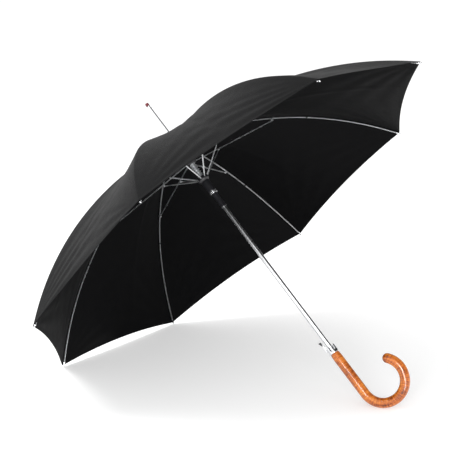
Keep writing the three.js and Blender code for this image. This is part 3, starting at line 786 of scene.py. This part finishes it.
def add_arms(rib):
    """The stretcher from the slider to the rib, and the strut from the runner to the stretcher."""
    turn = azimuth(rib)
    stretcher = arm(SLIDER_PIVOT, ELBOW, 2.0)
    stretcher += bar_between(STRUT_LUG, STRUT_PIN, rectangle(1.6, 3.0))
    stretcher += disc(STRUT_PIN, 1.6, -0.8, 0.8, dome=0.2)
    stretcher += disc(STRUT_PIN, PIN_RADIUS, -4.1, 0)
    stretcher += disc(STRUT_PIN, 1.5, -4.6, -4.15, dome=0.5)
    obj = mesh_object(f"stretcher_arm_{rib}", stretcher.moved(SIDE_STEP), STEEL, turn)
    done(obj, f"stretcher_{rib}", "steel", f"stretcher_{rib}")

    strut = mesh_object(f"strut_arm_{rib}", arm(RUNNER_PIVOT, STRUT_PIN, 1.9), STEEL, turn)
    done(strut, f"strut_{rib}", "steel", f"strut_{rib}")


def rib_shape():
    """The channel, its neck and eye at the crown, and the elbow's wrap, lug and pin."""
    angles = np.linspace(math.asin(15.5 / RIB_ARC), TIP_ANGLE - 9 / RIB_ARC, 96)
    path = np.stack([RIB_ARC * np.sin(angles), 0 * angles, ARC_CENTRE + RIB_ARC * np.cos(angles)],
                    axis=1)
    shape = sweep(path, channel(2.6, 2.2, 0.6))
    shape += bar_between(CROWN_PIVOT, arc_point(20), rectangle(1.5, 1.8))
    shape += eye(CROWN_PIVOT, 2.1, 1.0, -0.75, 0.75)
    shape += bar_between(ELBOW_PLACE, ELBOW, rectangle(1.2, 3.0))
    shape += disc(ELBOW, 1.7, -0.6, 0.6, dome=0.2)
    head = SIDE_STEP + 1.25
    shape += disc(ELBOW, PIN_RADIUS, 0.0, head) + disc(ELBOW, 1.3, head, head + 0.25)
    wrap = rectangle(2.9, 2.5)
    return shape + bar_between(ELBOW_PLACE + [-5, -0.3], ELBOW_PLACE + [5, -0.1], wrap)


def tip_shape():
    """The cap over the rib's end, along the rib's last stretch."""
    length = 12
    sleeve = rounded([(0, 5), (1.9, 5), (1.9, 0), (2.35, 0), (2.4, 0.4), (2.4, 5.6), (1.5, 7.2),
                      (1.45, 8.4), (1.75, 9.6), (1.75, 11), (1.1, 11.9), (0, length)], 0.35, 3)
    tip = lathe(sleeve, 40)
    c, s = math.cos(TIP_ANGLE), math.sin(TIP_ANGLE)
    start = np.array([TIP_RADIUS - length * c, 0, length * s])
    x, y, z = tip.verts.T
    return Shape(start + np.stack([z * c + x * s, y, x * c - z * s], axis=1), tip.faces)


def tie_shape():
    """Four turns of thread round the rib, where the cloth is tied to it."""
    angle = math.asin(TIE_RADIUS / RIB_ARC)
    along, outwards = np.array([[math.cos(angle), -math.sin(angle)],
                                [math.sin(angle), math.cos(angle)]])
    turns = np.arange(20) * 2 * math.pi / 20
    outline = np.stack([1.75 * np.sign(np.cos(turns)) * np.abs(np.cos(turns)) ** 0.6,
                        1.5 * np.sign(np.sin(turns)) * np.abs(np.sin(turns)) ** 0.6], axis=1)
    tie = Shape([], [])
    for step in (-0.9, -0.3, 0.3, 0.9):
        rings = []
        for spot in outline:
            out = spot / np.linalg.norm(spot)
            ring = []
            for a, b in circle(0.3, 8):
                y, lift = spot + a * out
                x, z = arc_point(TIE_RADIUS) + (step + b) * along + lift * outwards
                ring.append((x, y, z))
            rings.append(ring)
        tie += loft(rings, closed_loop=True)
    return tie


def add_rib(rib):
    turn, body = azimuth(rib), f"rib_{rib}"
    bar = mesh_object(f"rib_channel_{rib}", rib_shape(), STEEL, turn)
    done(bar, body, "steel", f"rib_{rib}")
    tip = mesh_object(f"rib_tip_cap_{rib}", tip_shape(), CHROME, turn)
    done(tip, body, "chrome", f"rib_tip_{rib}")
    done(mesh_object(f"canopy_tie_{rib}", tie_shape(), CLOTH, turn), body, "black_cloth")


# ---- canopy ----
# The cloth is one sheet, cut along the middle of each panel, so that each piece rides its rib.

CLOTH_THICKNESS = 0.3
CLOTH_LENGTH = 560.0
CANOPY_START = 5.2  # where the cloth starts, along the rib's arc from the shaft's axis
CANOPY_INSET = 4.0  # how far it ends before the rib's tip
CLOTH_GAP = 1.5  # between the back of the rib and the cloth
RIB_BACK = 1.1
HEM_BOW = 14.0  # how far the hem curves in between two ribs
SAG = 13.5
HEM_SAG = 2.2
RIDGE_WIDTH = 4.0  # how softly the cloth bends over a rib
HEM_FOLD = 7  # the hem is folded over this far from its edge
SEAM_FOLD = 3.2
HEM_ROWS = np.array([0.4, 1.2, 3, 5, 7, 9])
SEAM_COLUMNS = [0.004, 0.010, 0.018]
FOLD_PHASES = np.random.default_rng(11).uniform(0, 2 * math.pi, (RIBS, 5))


def tension_folds(a, u, radius, panel):
    """How far the taut cloth stands off its smooth shape, in millimetres: fine folds out of the
    two sewn corners and the crown, a slow wave, and one old crease from furling."""
    phase = FOLD_PHASES[panel % RIBS]
    width = 2 * radius * math.tan(PANEL / 2)
    down = (1 - a) * CLOTH_LENGTH
    height = 0 * a
    for corner, side in ((0, u), (1, 1 - u)):
        across = side * width
        distance = np.hypot(across, down)
        angle = np.arctan2(across, down + 1)
        reach = np.exp(-((distance / 210) ** 2)) * (1 - np.exp(-((distance / 45) ** 2)))
        height = height + 1.1 * reach * np.sin(19 * angle + phase[corner])
    height = height + 0.9 * np.sin(22 * u + phase[2]) * np.exp(-(((a - 0.16) / 0.16) ** 2))
    height = height + 0.8 * np.sin(7 * u + 3 * a + phase[3]) * np.sin(math.pi * a)
    crease = (0.5 + 0.16 * np.cos(phase[4]) * (0.3 + a)) * width
    height = height + 1.8 * np.exp(-np.abs(u * width - crease) / 4) * np.sin(math.pi * a) ** 0.7
    return height * np.sin(math.pi * u) ** 0.75


def panel_point(a, u, panel=0, mirrored=False):
    """The cloth between the rib at azimuth 0 and the next one. a runs from the crown to the hem,
    u from one rib to the other. It bends softly over the rib, and its middle line stays on the
    plane between the two ribs, so that both halves of a panel meet there."""
    first, last = CANOPY_START / RIB_ARC, TIP_ANGLE - CANOPY_INSET / RIB_ARC
    bulge = 4 * u * (1 - u)
    angle = first + (last - first) * a - HEM_BOW / RIB_ARC * a**3 * bulge
    gap = CLOTH_GAP + 0.45 * np.exp(-a * 18)
    reach = RIB_ARC + RIB_BACK + gap
    radius, height = reach * np.sin(angle), ARC_CENTRE + reach * np.cos(angle)
    middle, chord = PANEL / 2, math.sin(PANEL)
    slope = math.tan(middle)
    y = radius * u * chord
    fallen = np.hypot(y, RIDGE_WIDTH) - RIDGE_WIDTH
    x = radius - fallen * slope
    middle_y = radius * 0.5 * chord
    middle_x = radius - (np.hypot(middle_y, RIDGE_WIDTH) - RIDGE_WIDTH) * slope
    y = y * (1 + (middle_x * slope / middle_y - 1) * 2 * u)
    across = fallen / (radius * chord)
    depth = SAG * np.sin(math.pi * np.clip(a, 0, 1) ** 1.15) + HEM_SAG * a**4
    sag = depth * 4 * across * (1 - across)
    inside = np.clip(a, 0, 1), np.clip(1 - u if mirrored else u, 0, 1)
    sag = sag + tension_folds(*inside, radius, panel)
    x = x - sag * np.sin(angle) * math.cos(middle)
    y = y - sag * np.sin(angle) * math.sin(middle)
    return np.stack([x, y, height - sag * np.cos(angle)], axis=-1)


def half_panel(side, panel):
    """The cloth from a rib to the middle of the panel beside it: its outer and inner layers, with
    hem and seam, and each point's distances from the hem, the rib, the middle and the crown."""
    a = np.linspace(0, 1, 90) ** 0.9
    a = np.sort(np.concatenate([a, 1 - HEM_ROWS / CLOTH_LENGTH]))
    u = 0.5 * np.linspace(0, 1, 26) ** 1.1
    u = np.sort(np.concatenate([u, SEAM_COLUMNS]))
    grid_a, grid_u = np.meshgrid(a, u, indexing="ij")

    def surface(along_by, across_by):
        return panel_point(grid_a + along_by, grid_u + across_by, panel, side < 0)

    points = surface(0, 0)
    step = 1e-4
    da = surface(step, 0) - surface(-step, 0)
    du = surface(0, step) - surface(0, -step)
    normal = np.cross(da, du)
    normal /= np.linalg.norm(normal, axis=-1)[..., None]
    hem_distance = (1 - grid_a) * CLOTH_LENGTH
    width = 2 * points[..., 0] * math.tan(PANEL / 2)
    rib_distance = grid_u * width
    hem_fold = 0.35 / (1 + np.exp(np.minimum(hem_distance - HEM_FOLD, 50) * 2))
    seam_fold = 0.25 / (1 + np.exp(np.minimum(rib_distance - SEAM_FOLD, 50) * 3))
    seam_fold = seam_fold * np.clip(grid_a * 8, 0, 1)
    outer = points + normal * (CLOTH_THICKNESS + 0.5 * hem_fold + seam_fold)[..., None]
    inner = points - normal * (0.5 * hem_fold)[..., None]
    marks = np.stack([hem_distance, rib_distance, (grid_u - 0.5) * width, grid_a * CLOTH_LENGTH],
                     axis=-1)
    mirror = np.array([1, side, 1])
    return outer * mirror, inner * mirror, marks


def gore(rib):
    """One piece of the canopy: the two half panels on either side of a rib, as closed sheets."""
    verts, marks, faces = [], [], []
    start = 0
    for side in (1, -1):
        outer, inner, mark = half_panel(side, rib if side > 0 else rib - 1)
        rows, columns = outer.shape[:2]
        size = rows * columns
        verts += [outer.reshape(-1, 3), inner.reshape(-1, 3)]
        marks += [mark.reshape(-1, 4)] * 2

        def quad(p, q, r, s):
            faces.append((p, q, r, s) if side > 0 else (s, r, q, p))

        for j in range(rows - 1):
            for i in range(columns - 1):
                p = start + j * columns + i
                quad(p, p + columns, p + columns + 1, p + 1)
                p += size
                quad(p, p + 1, p + columns + 1, p + columns)
        for j in range(rows - 1):
            p = start + j * columns + columns - 1
            quad(p, p + columns, p + size + columns, p + size)
            p = start + j * columns
            quad(p + columns, p, p + size, p + size + columns)
        for i in range(columns - 1):
            p = start + (rows - 1) * columns + i
            quad(p, p + size, p + size + 1, p + 1)
            p = start + i
            quad(p + 1, p + size + 1, p + size, p)
        start += 2 * size
    return Shape(np.vstack(verts), faces), np.vstack(marks)


def add_gore(rib):
    shape, marks = gore(rib)
    turn = azimuth(rib)
    obj = mesh_object(f"canopy_cloth_{rib}", shape, CLOTH, turn, sharp=50)
    mesh = obj.data
    for name, column in (("from_hem", 0), ("from_rib", 1), ("along_hem", 2), ("along_rib", 3)):
        attribute = mesh.attributes.new(name, "FLOAT", "POINT")
        attribute.data.foreach_set("value", (marks[:, column] * MM).astype(np.float32))
    layer = mesh.uv_layers.new(name="weave")
    corner = np.zeros(len(mesh.loops), np.int32)
    mesh.loops.foreach_get("vertex_index", corner)
    layer.data.foreach_set("uv", (marks[corner][:, 2:4] * MM).astype(np.float32).ravel())
    done(obj, f"rib_{rib}", "black_cloth", f"canopy_gore_{rib}")
    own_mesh(obj)


# ---- the whole umbrella ----

add_shaft()
add_crown()
add_ferrule()
add_slider()
add_spring()
add_runner()
add_crook()
add_collar()
add_release()
for number in range(1, RIBS + 1):
    add_rib(number)
    add_arms(number)
    add_gore(number)


# ---- floor, lights and camera ----
# Metres, in the row frame.

FLOOR_SIZE = (60, 60)
UPWARDS = (0, 0, 1)
CAMERA_PLACE = (1.498, -2.134, 0.947)
CAMERA_FORWARD = (-0.5758, 0.7856, -0.2267)
CAMERA_UP = (-0.1331, 0.1835, 0.974)
LENS, SENSOR_WIDTH = 100.6, 36


def stage_plane(name, size, place, facing, material):
    bpy.ops.mesh.primitive_plane_add(size=1)
    plane = bpy.context.object
    plane.name = name
    plane.scale = (*size, 1)
    plane.location = place
    plane.rotation_mode = "QUATERNION"
    plane.rotation_quaternion = Vector(facing).to_track_quat("Z", "Y")
    plane.data.materials.append(material)
    return plane


def dark_card(name, size, place, facing, material):
    """A card that only the umbrella's polished parts reflect. The camera doesn't see it."""
    card = stage_plane(name, size, place, facing, material)
    card.visible_camera = False
    card.visible_diffuse = False
    card.visible_shadow = False


def flat_material(name, tone, glow=0.0):
    m = Nodes(name)
    m.set(Emission_Color=(1, 1, 1, 1), Emission_Strength=glow)
    return m.set(Base_Color=(tone, tone, tone, 1), Roughness=0.8, Specular_IOR_Level=0.1)


def area_light(name, place, target, size, power):
    data = bpy.data.lights.new(name, "AREA")
    data.shape, data.size, data.size_y = "RECTANGLE", *size
    data.energy = power
    light = bpy.data.objects.new(name, data)
    light.location = place
    light.rotation_mode = "QUATERNION"
    light.rotation_quaternion = (Vector(target) - Vector(place)).to_track_quat("-Z", "Y")
    bpy.context.scene.collection.objects.link(light)


def add_stage():
    stage_plane("floor", FLOOR_SIZE, (0, 0, 0), UPWARDS, flat_material("floor_paper", 0.70, 0.37))
    dark = flat_material("dark_card", 0.01)
    dark_card("card_above", (4.4, 3.4), (1.03, 0.92, 1.97), (-0.42, -0.42, -0.80), dark)
    # Painted shade: a dark card, seen only in reflections, lying on the floor under the canopy
    # where the floor is in shade.
    dark_card("floor_shade_card", (0.5, 0.7), (-0.2, 0.35, 0.004), UPWARDS, dark)
    world = bpy.data.worlds.new("studio")
    world.use_nodes = True
    background = world.node_tree.nodes["Background"]
    background.inputs["Color"].default_value = (1, 1, 1, 1)
    background.inputs["Strength"].default_value = 1.0
    bpy.context.scene.world = world
    area_light("key", (-1.2, -1.6, 3.0), (0, 0, 0.3), (1.6, 1.6), 90)
    area_light("front", (1.35, -2.6, 1.15), (0, 0, 0.3), (0.8, 0.8), 40)
    area_light("low", (1.9, -1.5, 0.35), (-0.1, 0, 0.35), (0.5, 0.9), 22)


def add_camera():
    data = bpy.data.cameras.new("camera")
    data.lens, data.sensor_width = LENS, SENSOR_WIDTH
    data.clip_start, data.clip_end = 0.05, 200
    camera = bpy.data.objects.new("camera", data)
    forward = Vector(CAMERA_FORWARD).normalized()
    right = forward.cross(Vector(CAMERA_UP)).normalized()
    matrix = camera.matrix_world.copy()
    for i, column in enumerate((right, right.cross(forward), -forward)):
        for j in range(3):
            matrix[j][i] = column[j]
    matrix.translation = CAMERA_PLACE
    camera.matrix_world = matrix
    bpy.context.scene.collection.objects.link(camera)
    bpy.context.scene.camera = camera


add_stage()
add_camera()
bpy.context.scene.view_settings.view_transform = "Standard"
